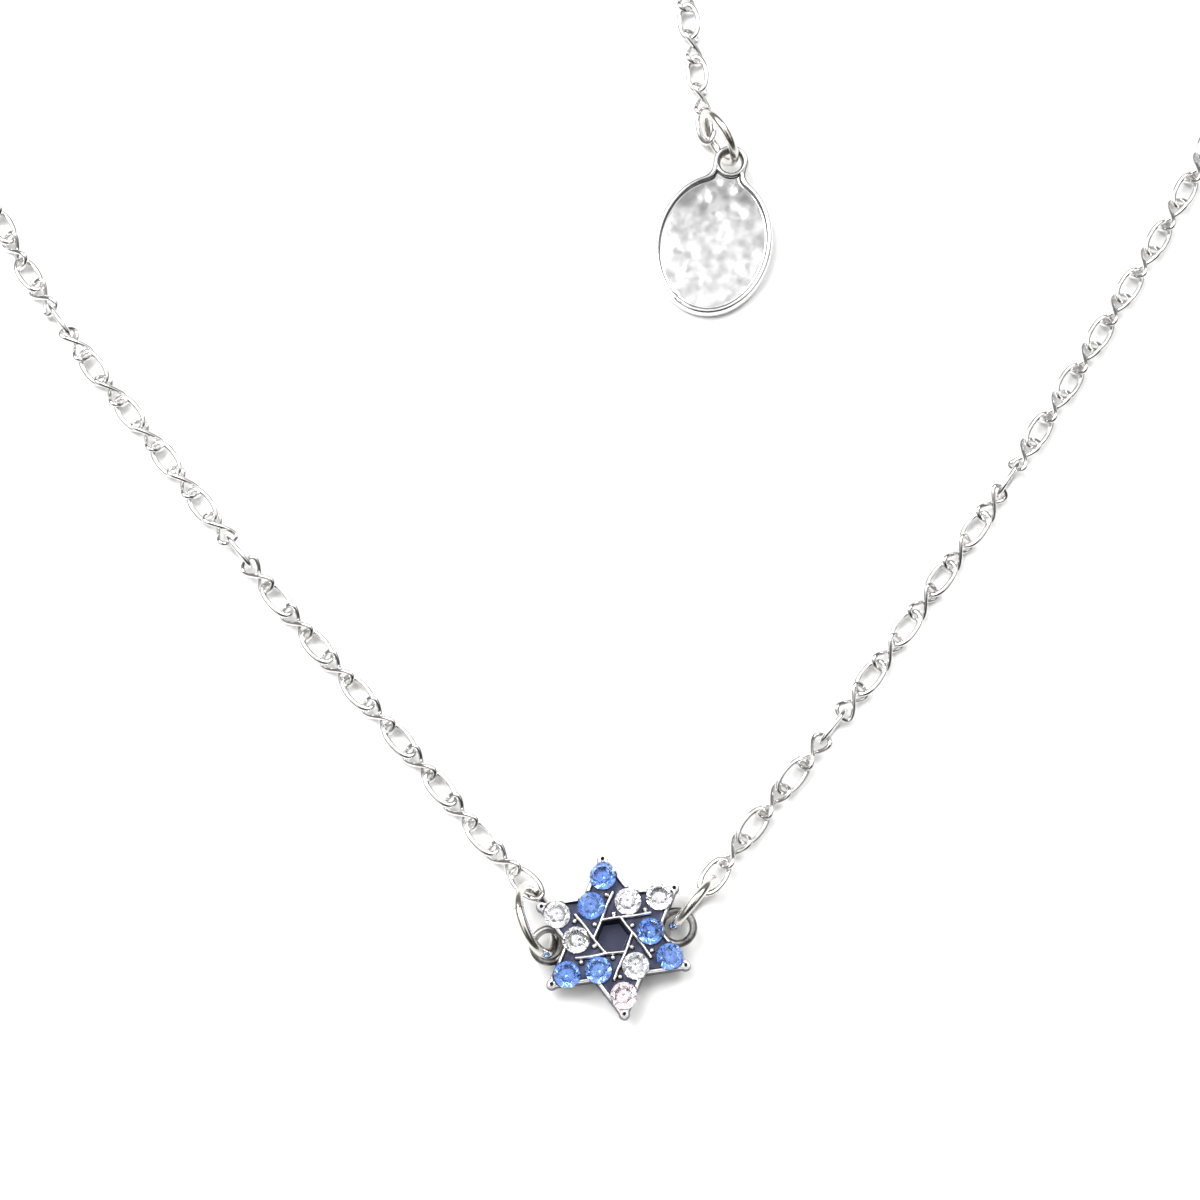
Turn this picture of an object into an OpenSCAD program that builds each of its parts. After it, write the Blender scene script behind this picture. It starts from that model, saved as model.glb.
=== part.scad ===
// A six-pointed star centrepiece on its own necklace, laid out on a table with the star's back on it.
// The origin is the middle of the star's flat back, +Z is up and +Y runs up the necklace to its clasp.

/* [Star] */
// Distance between two opposite tips of the star
star_span = 12.7; // [11:0.1:16]
// Turn of the star about its middle, in degrees
star_turn = 8; // [-15:1:15]
// Height of the star's metal above the table
star_height = 2.4; // [2.3:0.05:3]
// Height of the underside of the six points above the table
point_rise = 1.25; // [1.2:0.05:1.3]
// Depth of the sunken face below the rim
face_depth = 0.45; // [0.2:0.05:0.7]
// Width of the raised rim
rim_width = 0.22; // [0.15:0.01:0.35]
// Distance from the star's middle to the middle line of a ridge
ridge_distance = 1.3; // [1.1:0.05:1.5]
// Width of a ridge of the interlaced bands
ridge_width = 0.22; // [0.15:0.01:0.35]
// Distance across the flats of the foot under the middle
foot_flats = 6; // [5:0.1:6.2]
// Thickness of the metal left under the middle well
well_floor = 0.6; // [0.3:0.05:0.9]
// Diameter of the bead on each tip
tip_bead = 0.66; // [0.4:0.02:0.9]
// Diameter of a small holding bead beside a stone
grip_bead = 0.34; // [0.2:0.02:0.4]

/* [Stones] */
// Diameter of a stone at its girdle
stone_width = 2.1; // [1.8:0.05:2.2]
// Height of a stone's girdle above the table
girdle_height = 2.32; // [2.2:0.02:2.5]
// Height of a stone above its girdle
crown_height = 0.42; // [0.3:0.02:0.6]
// Depth of a stone below its girdle
pavilion_depth = 0.85; // [0.7:0.01:0.9]
// Width of the flat table on a stone
table_width = 1.2; // [0.9:0.05:1.4]
// Thickness of a stone's girdle
girdle_edge = 0.08; // [0.04:0.01:0.12]
// Distance from the star's middle to the line through an arm's two stones
stone_line = 2.43; // [2.35:0.01:2.5]
// Distance of the outer stone along that line
outer_stone = 3.9; // [3.8:0.02:4]
// Distance of the inner stone along that line
inner_stone = 1.48; // [1.4:0.02:1.5]
// Gap between a stone and the metal that holds it
stone_gap = 0.04; // [0.03:0.005:0.06]
// Wall of a cup round the lower half of a stone
cup_wall = 0.15; // [0.1:0.01:0.2]

/* [Side loops and jump rings] */
// Distance from the star's middle to the middle of a side loop
loop_distance = 4.95; // [4.8:0.05:5.1]
// Hole of a side loop
loop_hole = 1.9; // [1.85:0.05:2]
// Thickness of a side loop's metal
loop_wire = 0.6; // [0.5:0.02:0.6]
// Height of the middle of a side loop above the table
loop_height = 1.6; // [1.5:0.05:1.7]
// Outer diameter of the left jump ring
left_ring_width = 6.1; // [6:0.1:6.2]
// Outer diameter of the right jump ring
right_ring_width = 5.4; // [5.3:0.1:5.5]
// Wire of the jump rings
ring_wire = 0.75; // [0.6:0.05:0.8]

/* [Chain] */
// Length of a large oval link
oval_length = 3.66; // [3.5:0.02:4]
// Width of a large oval link
oval_width = 2.1; // [2:0.02:2.4]
// Wire of a large oval link
oval_wire = 0.46; // [0.36:0.02:0.46]
// Length of a small crossed link
cross_length = 3.54; // [3.4:0.02:3.8]
// Width of a small crossed link
cross_width = 1.98; // [1.9:0.02:2.2]
// Wire of a small crossed link
cross_wire = 0.4; // [0.3:0.02:0.4]
// Least gap between two pieces that hang in each other
link_gap = 0.14; // [0.13:0.01:0.16]
// Height of the chain's middle line above the table
chain_height = 0.8; // [0.78:0.01:1]

/* [Tag and extender] */
// Width of the oval tag
tag_width = 9.9; // [8:0.1:12]
// Length of the oval tag without its ear
tag_length = 12.4; // [10:0.1:15]
// Thickness of the tag at its rim
tag_thickness = 1; // [0.8:0.05:1.4]
// Depth of the tag's sunken field
tag_field_depth = 0.3; // [0.1:0.05:0.5]
// Width of the tag's raised rim
tag_rim = 0.42; // [0.3:0.02:0.6]
// Width of the tag's ear
ear_width = 3.1; // [2.8:0.1:3.6]
// Hole of the tag's ear
ear_hole = 1.75; // [1.7:0.05:1.9]
// Outer diameter of the ring that holds the tag
tag_ring_width = 5.25; // [5.1:0.05:5.4]

/* [Clasp] */
// Outer diameter of the clasp's ring
clasp_width = 6.2; // [5.8:0.1:7]
// Wire of the clasp's ring
clasp_wire = 1.2; // [1:0.05:1.3]
// Outer diameter of the ring that the clasp closes on
end_ring_width = 5; // [4.9:0.1:5.2]

/* [Hidden] */
$fn = 48;

// Star: a hexagram whose six tips lie at 30, 90 ... degrees before its turn
star_radius = star_span / 2;
notch_distance = star_radius / sqrt(3);
arms = 6;
arm_angle = 360 / arms;
first_tip = 30;
face_height = star_height - face_depth;
well_radius = (ridge_distance - ridge_width / 2) / cos(30);
ridge_start = ridge_distance * tan(30);
ridge_share = 0.83;
ridge_end = -ridge_share * notch_distance;
ridge_rise = 0.05;
bead_inset = 0.62;
bead_distance = star_radius - bead_inset * tip_bead;
neck_width = 1.1;
// Depth to which two parts of the casting run into each other
sink = 0.1;

// Stones: a pair on each arm, beside the edge that faces 60 degrees on from the arm's tip
stone_sides = 16;
table_sides = 8;
blue_arms = [1, 3, 5];
clear_arms = [0, 2, 4];
girdle_low = girdle_height - girdle_edge;
pavilion_slope = stone_width / 2 / pavilion_depth;
cup_inset = 0.18;
cup_radius = stone_width / 2 - cup_inset + cup_wall;
cup_drop = 0.25;
cup_height = girdle_height - cup_drop;
grip_offset = 0.35;
grip_line = ridge_distance + grip_offset;
grip_places = [(outer_stone + inner_stone) / 2, inner_stone - (outer_stone - inner_stone) / 2];

// Chain: as many pairs of links as each route needs
oval_reach = (oval_length - oval_wire) / 2;
oval_radius = (oval_width - oval_wire) / 2;
oval_straight = oval_reach - oval_radius;
cross_reach = (cross_length - cross_wire) / 2;
cross_half = (cross_width - cross_wire) / 2;
cross_lift = 0.62;
cross_rise = cross_lift * cross_wire;
cross_rings = 14;
cross_sides = 5;
link_hook = (oval_wire + cross_wire) / 2 + link_gap;
ring_hook = (oval_wire + ring_wire) / 2 + link_gap;
full_pitch = 2 * (oval_reach + cross_reach - link_hook);
oval_roll = 21;
cross_roll = -43;
roll_drift = 1.5;
drift_pace = 50;
table_gap = 0.03;
standing_rise = oval_width / 2 - chain_height + table_gap;
standing_spread = 4;
standing_turn = 12;
left_end_rolls = [15, 17];
right_end_rolls = [12, 28];
extender_end_rolls = [21, 37];
route_steps = 8;

// Routes of the chain on the table: each side from its jump ring to the clasp, and the extender downward
left_route = [[-6.1, 3.45], [-10.4, 8], [-17.1, 15.8], [-24.3, 23.9], [-30.9, 31.8], [-37.4, 40],
              [-43.8, 48], [-49.6, 56.4], [-54.4, 66], [-57.7, 77], [-59, 89], [-58, 101],
              [-54.8, 112.5], [-49.3, 123], [-41.6, 132.2], [-32.1, 139.8], [-20.5, 145.9], [-8, 148.6]];
right_route = [[7.3, 3.95], [11.3, 9.1], [18, 17.3], [24.1, 25.5], [30.1, 33.9], [35.8, 42.5],
               [41.4, 51.2], [46.9, 60], [52, 69.6], [55.9, 80], [58.1, 91], [58.2, 102.5],
               [56, 113.5], [51.6, 123.5], [45.2, 132.2], [36.8, 139.4], [27, 144.6], [16, 147.8],
               [2.8, 148.6]];
extender_route = [[3.05, 146.9], [2.9, 132], [3.4, 117], [4.2, 102], [5.3, 90], [6.7, 78.3], [8, 68.6]];

// Large links that stand on edge, counted from the jump ring
left_standing = [7, 12];
right_standing = [3, 8];

// Rings: each hangs from the end of a route, its middle a share of its own radius away from that end. Then
// come the heading of the level line across it and its lean from lying flat
function ring_radius(width) = (width - ring_wire) / 2;
function last_of(list) = list[len(list) - 1];
left_ring_shares = [0.086, -0.871];
left_ring_place = left_route[0] + ring_radius(left_ring_width) * left_ring_shares;
left_ring_heading = 108.5;
left_ring_lean = 67;
right_ring_shares = [-0.5161, -0.6495];
right_ring_place = right_route[0] + ring_radius(right_ring_width) * right_ring_shares;
right_ring_heading = 50;
right_ring_lean = 92;
tag_ring_shares = [0.4578, -0.8578];
tag_ring_place = last_of(extender_route) + ring_radius(tag_ring_width) * tag_ring_shares;
tag_ring_heading = 123;
tag_ring_lean = 91;
end_ring_shares = [-1.1153, 0.2353];
end_ring_place = last_of(right_route) + ring_radius(end_ring_width) * end_ring_shares;
end_ring_heading = 0;
end_ring_lean = 67;

// Clasp: its upright lug holds the last large link of the left chain, and its far side lies on the end ring
lug_radius = 1;
lug_wire = 0.5;
lug_gap = 0.25;
lug_hook = (lug_wire + oval_wire) / 2 + lug_gap;
clasp_radius = (clasp_width - clasp_wire) / 2;
clasp_tilt = 11;
clasp_place = last_of(left_route) + [oval_reach - lug_hook, 0];

// Tag: its lower edge lies on the table, and the ring through its ear props up the other end. The ear's
// hole stays on the ring, so a longer tag reaches further down the table
ear_offset = 1.05;
ear_distance = tag_length / 2 + ear_offset;
ear_shares = [0.4391, -0.8862];
ear_place = tag_ring_place + ring_radius(tag_ring_width) * ear_shares;
ear_rise = 1.569;
tag_heading = -12.4;
tag_reach = tag_length / 2 + ear_distance;
tag_tilt = asin(ear_rise / tag_reach);
tag_ahead = [-sin(tag_heading), cos(tag_heading)];
tag_place = ear_place - tag_reach * cos(tag_tilt) * tag_ahead;
tag_corners = 72;

function unit(v) = v / norm(v);
function bend(p, i, u) =
    let (a = p[max(i - 1, 0)], b = p[i], c = p[i + 1], d = p[min(i + 2, len(p) - 1)])
    (2 * b + (c - a) * u + (2 * a - 5 * b + 4 * c - d) * u * u + (3 * b - a - 3 * c + d) * u * u * u) / 2;
function smooth(p) =
    [for (i = [0 : len(p) - 2], k = [0 : route_steps - 1]) bend(p, i, k / route_steps), p[len(p) - 1]];
function run(p, i) = i == 0 ? 0 : run(p, i - 1) + norm(p[i] - p[i - 1]);
function track(p) =
    let (q = smooth(p), s = [for (i = [0 : len(q) - 1]) run(q, i)])
    [for (axis = [0, 1]) [for (i = [0 : len(q) - 1]) [s[i], q[i][axis]]]];
function track_length(t) = t[0][len(t[0]) - 1][0];

// A side's first large link holds its jump ring, and its last one lies at the route's end
left_track = track(left_route);
right_track = track(right_route);
extender_track = track(extender_route);
first_oval = oval_reach - ring_hook;

// How far the middle line rises above the chain's own height: distance along the route, then the rise
left_length = track_length(left_track);
right_length = track_length(right_track);
extender_length = track_length(extender_track);
steep_run = 2.4;
long_run = 5;
short_run = 3;
left_rise = [[0, 0.95], [steep_run, 0.3], [long_run, 0], [left_length - long_run, 0], [left_length, 0.4]];
right_rise = [[0, 0.84], [steep_run, 0.3], [long_run, 0], [right_length - short_run, 0], [right_length, 0.3]];
extender_rise = [[0, 0.54], [short_run, 0], [extender_length - short_run, 0], [extender_length, 0.22]];

left_run = left_length - first_oval;
left_pairs = ceil(left_run / full_pitch);
left_pitch = left_run / left_pairs;
left_ovals = [for (i = [0 : left_pairs]) first_oval + i * left_pitch];
left_crosses = [for (i = [0 : left_pairs - 1]) first_oval + (i + 0.5) * left_pitch];
left_stands = [for (i = left_standing) left_ovals[i]];
right_run = right_length - first_oval;
right_pairs = ceil(right_run / full_pitch);
right_pitch = right_run / right_pairs;
right_ovals = [for (i = [0 : right_pairs]) first_oval + i * right_pitch];
right_crosses = [for (i = [0 : right_pairs - 1]) first_oval + (i + 0.5) * right_pitch];
right_stands = [for (i = right_standing) right_ovals[i]];
extender_pairs = ceil(extender_length / full_pitch + 0.5);
extender_pitch = extender_length / (extender_pairs - 0.5);
extender_ovals = [for (i = [0 : extender_pairs - 1]) (i + 0.5) * extender_pitch];
extender_crosses = [for (i = [1 : extender_pairs - 1]) i * extender_pitch];

// Places along a route: the middle line, and how a link lies on it
function near_stand(s, stands) = max([0, for (c = stands) exp(-pow((s - c) / standing_spread, 2))]);
function spot(t, rise, stands, s) =
    [lookup(s, t[0]),
     lookup(s, t[1]),
     chain_height + lookup(s, rise) + standing_rise * near_stand(s, stands)];
function hand(s, stands) = len([for (c = stands) if (c < s - link_gap) c]) % 2 == 0 ? 1 : -1;
function stands_at(s, stands) = len([for (c = stands) if (abs(c - s) < link_gap) c]) > 0;
function drift(s, stands) = roll_drift * sin(drift_pace * s) + standing_turn * near_stand(s, stands);

// Small crossed link: one wire that crosses itself in the middle and opens into a loop at each end
function cross_point(turn) =
    [cross_reach * cos(turn), cross_half * sin(2 * turn), cross_rise * pow(sin(turn), 3)];
function cross_ring(turn) =
    let (middle = cross_point(turn),
         ahead = unit(cross_point(turn + 1) - cross_point(turn - 1)),
         beside = unit(cross(ahead, [0, 0, 1])),
         above = cross(beside, ahead))
    [for (side = [0 : cross_sides - 1])
        let (a = 360 * side / cross_sides)
        middle + cross_wire / 2 * (cos(a) * beside + sin(a) * above)];
cross_points = [for (ring = [0 : cross_rings - 1]) each cross_ring(360 * (ring + 0.5) / cross_rings)];
cross_faces = [for (ring = [0 : cross_rings - 1], side = [0 : cross_sides - 1])
    let (here = ring * cross_sides,
         next = (ring + 1) % cross_rings * cross_sides,
         beyond = (side + 1) % cross_sides)
    each [[here + side, next + beyond, next + side], [here + side, here + beyond, next + beyond]]];

module cross_link() {
    polyhedron(cross_points, cross_faces);
}

// Large oval link: two half rings and two straight wires
module oval_link() {
    for (end = [0, 1])
        mirror([end, 0, 0])
            translate([oval_straight, 0, 0])
                rotate_extrude(angle = 180, start = -90)
                    translate([oval_radius, 0])
                        circle(d = oval_wire);
    for (side = [-1, 1])
        translate([-oval_straight, side * oval_radius, 0])
            rotate([0, 90, 0])
                cylinder(d = oval_wire, h = 2 * oval_straight);
}

// Puts a link on the route, along the line between the two places that its ends reach
module lay(t, rise, stands, s, reach, roll) {
    back = spot(t, rise, stands, s - reach);
    front = spot(t, rise, stands, s + reach);
    step = front - back;
    translate(spot(t, rise, stands, s))
        rotate([0, -atan2(step[2], norm([step[0], step[1]])), atan2(step[1], step[0])])
            rotate([roll, 0, 0])
                children();
}

module lay_ovals(t, rise, stands, places, end_rolls) {
    last = len(places) - 1;
    for (i = [0 : last])
        lay(t, rise, stands, places[i], oval_reach,
            i == 0 ? end_rolls[0] : i == last ? end_rolls[1] : stands_at(places[i], stands) ? 90
            : hand(places[i], stands) * (oval_roll + drift(places[i], stands)))
            oval_link();
}

module lay_crosses(t, rise, stands, places) {
    for (s = places)
        lay(t, rise, stands, s, cross_reach, hand(s, stands) * (cross_roll + drift(s, stands)))
            cross_link();
}

// A ring of round wire that rests on the table
module ring(width, wire, heading, lean) {
    radius = (width - wire) / 2;
    translate([0, 0, wire / 2 + radius * sin(lean)])
        rotate([lean, 0, heading])
            rotate_extrude()
                translate([radius, 0])
                    circle(d = wire);
}

module hexagram(tip_radius) {
    for (turn = [0, 180])
        rotate(turn + first_tip)
            circle(r = tip_radius, $fn = 3);
}

module on_face(arm, from_middle, along) {
    rotate(first_tip + (arm + 1) * arm_angle)
        translate([from_middle, -along, 0])
            children();
}

module ridge() {
    translate([ridge_distance - ridge_width / 2, ridge_end, face_height - sink])
        cube([ridge_width, ridge_start - ridge_end, face_depth + sink + ridge_rise]);
}

module side_loop() {
    translate([loop_distance, 0, loop_height])
        rotate_extrude()
            translate([(loop_hole + loop_wire) / 2, 0])
                circle(d = loop_wire);
    translate([notch_distance - neck_width / 2, -neck_width / 2, loop_height - loop_wire / 2])
        cube([loop_distance - loop_hole / 2 - loop_wire / 4 - notch_distance + neck_width / 2,
              neck_width, loop_wire]);
}

module seat() {
    radial_gap = stone_gap * norm([1, pavilion_slope]);
    translate([0, 0, girdle_low - pavilion_depth - stone_gap])
        cylinder(r1 = radial_gap - stone_gap * pavilion_slope, r2 = stone_width / 2 + radial_gap,
                 h = pavilion_depth + stone_gap);
    translate([0, 0, girdle_low - stone_gap])
        cylinder(r = stone_width / 2 + radial_gap, h = star_height);
}

// Star frame: plate, foot, rim, ridges, cups and side loops in one casting, sunk for the stones and the well
module star_frame() {
    color("slategray")
        rotate(star_turn)
            difference() {
                union() {
                    translate([0, 0, point_rise])
                        linear_extrude(face_height - point_rise)
                            hexagram(star_radius);
                    cylinder(d = foot_flats / cos(30), h = point_rise + sink, $fn = 6);
                    translate([0, 0, face_height - sink])
                        linear_extrude(face_depth + sink)
                            difference() {
                                hexagram(star_radius);
                                hexagram(star_radius - 2 * rim_width);
                            }
                    for (arm = [0 : arms - 1]) {
                        rotate(first_tip + arm * arm_angle)
                            ridge();
                        rotate(first_tip + arm * arm_angle)
                            translate([bead_distance, 0, star_height - tip_bead / 4])
                                sphere(d = tip_bead);
                        for (along = [outer_stone, inner_stone])
                            on_face(arm, stone_line, along)
                                translate([0, 0, point_rise])
                                    cylinder(r = cup_radius, h = cup_height - point_rise);
                        for (along = grip_places)
                            on_face(arm, grip_line, along)
                                translate([0, 0, face_height + grip_bead / 4])
                                    sphere(d = grip_bead);
                    }
                    for (turn = [0, 180])
                        rotate(turn)
                            side_loop();
                }
                translate([0, 0, well_floor])
                    cylinder(r = well_radius, h = star_height, $fn = 6);
                for (arm = [0 : arms - 1], along = [outer_stone, inner_stone])
                    on_face(arm, stone_line, along)
                        seat();
            }
}

// Cut stone: eight-sided table, crown of star and girdle facets, thin girdle and pointed pavilion
function circle_points(radius, count, height) =
    [for (i = [0 : count - 1]) [radius * cos(360 * i / count), radius * sin(360 * i / count), height]];
stone_points = concat(circle_points(table_width / 2, table_sides, girdle_height + crown_height),
                      circle_points(stone_width / 2, stone_sides, girdle_height),
                      circle_points(stone_width / 2, stone_sides, girdle_low),
                      [[0, 0, girdle_low - pavilion_depth]]);
upper_girdle = table_sides;
lower_girdle = upper_girdle + stone_sides;
culet = lower_girdle + stone_sides;
stone_faces = concat(
    [[for (i = [table_sides - 1 : -1 : 0]) i]],
    [for (i = [0 : table_sides - 1])
        let (next_corner = (i + 1) % table_sides,
             before = upper_girdle + (2 * i + stone_sides - 1) % stone_sides,
             under = upper_girdle + 2 * i,
             after = upper_girdle + 2 * i + 1)
        each [[i, under, before], [i, after, under], [i, next_corner, after]]],
    [for (i = [0 : stone_sides - 1])
        let (j = (i + 1) % stone_sides)
        each [[upper_girdle + i, upper_girdle + j, lower_girdle + j, lower_girdle + i],
              [lower_girdle + i, lower_girdle + j, culet]]]);

module stone(arm, along) {
    rotate(star_turn)
        on_face(arm, stone_line, along)
            polyhedron(stone_points, stone_faces);
}

// Stones are numbered arm by arm, the outer one of each pair first
function arm_of(list, number) = list[floor((number - 1) / 2)];
function along_of(number) = number % 2 == 1 ? outer_stone : inner_stone;

module blue_stone(number) {
    color("royalblue")
        stone(arm_of(blue_arms, number), along_of(number));
}

module clear_stone(number) {
    color("white")
        stone(arm_of(clear_arms, number), along_of(number));
}

module left_jump_ring() {
    color("silver")
        translate(left_ring_place)
            ring(left_ring_width, ring_wire, left_ring_heading, left_ring_lean);
}

module right_jump_ring() {
    color("silver")
        translate(right_ring_place)
            ring(right_ring_width, ring_wire, right_ring_heading, right_ring_lean);
}

module chain_left() {
    color("gainsboro") {
        lay_ovals(left_track, left_rise, left_stands, left_ovals, left_end_rolls);
        lay_crosses(left_track, left_rise, left_stands, left_crosses);
    }
}

module chain_right() {
    color("gainsboro") {
        lay_ovals(right_track, right_rise, right_stands, right_ovals, right_end_rolls);
        lay_crosses(right_track, right_rise, right_stands, right_crosses);
    }
}

// Extender: its first small link stands on edge and holds the side of the right chain's last large link
module extender_chain() {
    color("gainsboro") {
        lay(extender_track, extender_rise, [], 0, cross_reach, 90)
            cross_link();
        lay_ovals(extender_track, extender_rise, [], extender_ovals, extender_end_rolls);
        lay_crosses(extender_track, extender_rise, [], extender_crosses);
    }
}

// Clasp: a plain closed ring with a small lug for the left chain's last link
module clasp() {
    color("silver")
        translate(clasp_place) {
            translate([lug_radius, 0, 0])
                ring(2 * lug_radius + lug_wire, lug_wire, 0, 90);
            translate([2 * lug_radius, 0, clasp_wire / 2 + link_gap])
                rotate([0, -clasp_tilt, 0])
                    translate([clasp_radius, 0, 0])
                        rotate_extrude()
                            translate([clasp_radius, 0])
                                circle(d = clasp_wire);
        }
}

module end_ring() {
    color("silver")
        translate(end_ring_place)
            ring(end_ring_width, ring_wire, end_ring_heading, end_ring_lean);
}

module tag_ring() {
    color("silver")
        translate(tag_ring_place)
            ring(tag_ring_width, ring_wire, tag_ring_heading, tag_ring_lean);
}

module ellipse(width, length) {
    polygon([for (i = [0 : tag_corners - 1])
        [width / 2 * cos(360 * i / tag_corners), length / 2 * sin(360 * i / tag_corners)]]);
}

// Tag: an oval plate with a raised rim and a cast ear, propped at the ear by the ring through it
module tag() {
    color("darkgray")
        translate(tag_place)
            rotate([0, 0, tag_heading])
                rotate([tag_tilt, 0, 0])
                    translate([0, tag_length / 2, 0])
                        difference() {
                            union() {
                                linear_extrude(tag_thickness)
                                    ellipse(tag_width, tag_length);
                                translate([0, ear_distance, 0])
                                    cylinder(d = ear_width, h = tag_thickness);
                                translate([-ear_width / 2, tag_length / 2 - ear_width / 2, 0])
                                    cube([ear_width, ear_offset + ear_width / 2, tag_thickness]);
                            }
                            translate([0, 0, tag_thickness - tag_field_depth])
                                linear_extrude(tag_thickness)
                                    ellipse(tag_width - 2 * tag_rim, tag_length - 2 * tag_rim);
                            translate([0, ear_distance, -tag_thickness])
                                cylinder(d = ear_hole, h = 3 * tag_thickness);
                        }
}

star_frame();
for (number = [1 : 6]) {
    blue_stone(number);
    clear_stone(number);
}
left_jump_ring();
right_jump_ring();
chain_left();
chain_right();
clasp();
end_ring();
extender_chain();
tag_ring();
tag();
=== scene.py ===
"""Star pendant necklace laid on a pale table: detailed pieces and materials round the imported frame.

Lengths are in millimetres until a mesh is made. The links, rings, stones and tag take their places
and sizes from the frame's own solids, so they lie where the frame has them.
"""
import math

import bpy
import numpy as np
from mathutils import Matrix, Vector


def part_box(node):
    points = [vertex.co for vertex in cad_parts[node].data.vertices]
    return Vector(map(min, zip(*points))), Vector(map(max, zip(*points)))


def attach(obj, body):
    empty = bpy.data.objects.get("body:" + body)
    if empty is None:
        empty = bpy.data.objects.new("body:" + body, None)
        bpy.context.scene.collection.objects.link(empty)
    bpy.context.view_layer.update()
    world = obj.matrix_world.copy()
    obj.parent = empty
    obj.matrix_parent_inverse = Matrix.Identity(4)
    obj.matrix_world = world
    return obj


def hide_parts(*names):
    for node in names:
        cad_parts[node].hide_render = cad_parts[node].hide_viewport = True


MM = 0.001
BODY = "root"
UP = np.array([0, 0, 1.0])
# Degrees of bend from which an edge is left crisp.
CASTING_CREASE = 50
WIRE_END_CREASE = 60


def unit(vectors):
    return vectors / np.linalg.norm(vectors, axis=-1, keepdims=True)


def heading(angle):
    """The level direction at an angle in degrees."""
    return np.array([math.cos(math.radians(angle)), math.sin(math.radians(angle))])


def level_turn(angle):
    """The matrix that turns rows of points about the Z axis by an angle in radians."""
    cosine, sine = math.cos(angle), math.sin(angle)
    return np.array([[cosine, sine, 0], [-sine, cosine, 0], [0, 0, 1]])


def circle(radius, count, height, offset=0.0):
    turn = (np.arange(count) + offset) / count * 2 * math.pi
    return np.stack([radius * np.cos(turn), radius * np.sin(turn), np.full(count, height)], 1)


def smooth_step(value):
    value = np.clip(value, 0, 1)
    return value * value * (3 - 2 * value)


def smooth_max(a, b, width):
    share = np.clip(0.5 + (a - b) / width / 2, 0, 1)
    return a * share + b * (1 - share) + width * share * (1 - share)


def rounded(distance, half):
    """The height share of a round-topped ridge at a distance from its middle line."""
    return np.sqrt(np.clip(1 - (distance / half) ** 2, 0, 1))


def edge_round(inside, width):
    """1 well inside an outline, falling in a quarter round to 0 on it."""
    return rounded(np.clip(width - inside, 0, width), width)


def hill(p, centre, spread):
    """1 at a place, falling off smoothly round it."""
    return np.exp(-((p - centre) ** 2).sum(1) / spread ** 2)


# --- Meshes ---------------------------------------------------------------------------------------


def mesh_object(name, verts, faces, materials, kinds=None, sharp=None):
    """A mesh object at the origin, from millimetres. Edges bent by more than sharp degrees are left
    crisp, and 0 leaves every face flat."""
    mesh = bpy.data.meshes.new(name)
    mesh.from_pydata((np.asarray(verts) * MM).tolist(), [], [list(map(int, f)) for f in faces])
    for material in materials:
        mesh.materials.append(material)
    if kinds is not None:
        mesh.polygons.foreach_set("material_index", kinds)
    mesh.polygons.foreach_set("use_smooth", [sharp != 0] * len(mesh.polygons))
    if sharp:
        mesh.set_sharp_from_angle(angle=math.radians(sharp))
    mesh.update()
    piece = bpy.data.objects.new(name, mesh)
    bpy.context.scene.collection.objects.link(piece)
    return piece


def dress(piece, node):
    """Puts a finished piece in the model in place of the node it stands for."""
    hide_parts(node)
    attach(piece, BODY)


def joined(parts):
    """Several (verts, faces) pairs as one."""
    verts, faces, start = [], [], 0
    for part_verts, part_faces in parts:
        verts.append(part_verts)
        faces += [[i + start for i in f] for f in part_faces]
        start += len(part_verts)
    return np.concatenate(verts), faces


def grid_faces(rings, sides, closed=True):
    """Quads between neighbouring rings of points."""
    faces = []
    for ring in range(rings if closed else rings - 1):
        here, after = ring * sides, (ring + 1) % rings * sides
        for side in range(sides):
            beyond = (side + 1) % sides
            faces.append([here + side, here + beyond, after + beyond, after + side])
    return faces


def oval_sections(path, ahead, width, height, sides, up):
    """Oval rings of points across a path; up gives each one's upward direction."""
    beside = unit(np.cross(ahead, up))
    above = np.cross(beside, ahead)
    turn = np.linspace(0, 2 * math.pi, sides, endpoint=False)
    section = (np.cos(turn)[None, :, None] * beside[:, None] * width / 2
               + np.sin(turn)[None, :, None] * above[:, None] * height / 2)
    return (path[:, None] + section).reshape(-1, 3)


def loop_tube(path, width, height, sides, up):
    """A closed wire of oval section swept round a path."""
    ahead = unit(np.roll(path, -1, 0) - np.roll(path, 1, 0))
    return oval_sections(path, ahead, width, height, sides, up), grid_faces(len(path), sides)


def open_tube(path, width, height, sides, up):
    """An open wire with closed ends, swept along a path."""
    ahead = unit(np.gradient(path, axis=0))
    last = (len(path) - 1) * sides
    faces = grid_faces(len(path), sides, closed=False)
    faces += [list(range(sides))[::-1], list(range(last, last + sides))]
    return oval_sections(path, ahead, width, height, sides, up), faces


# --- Cast plates ----------------------------------------------------------------------------------

# Cells with corners this share of a step outside an outline still belong to the plate.
OUTSIDE_SHARE = 0.35
# The border is drawn onto the outline in a few moves down the slope of the distance to it.
BORDER_MOVES = 4
PROBE = 0.01
LEAST_SLOPE = 0.3
WALL_ROWS = 4


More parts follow.
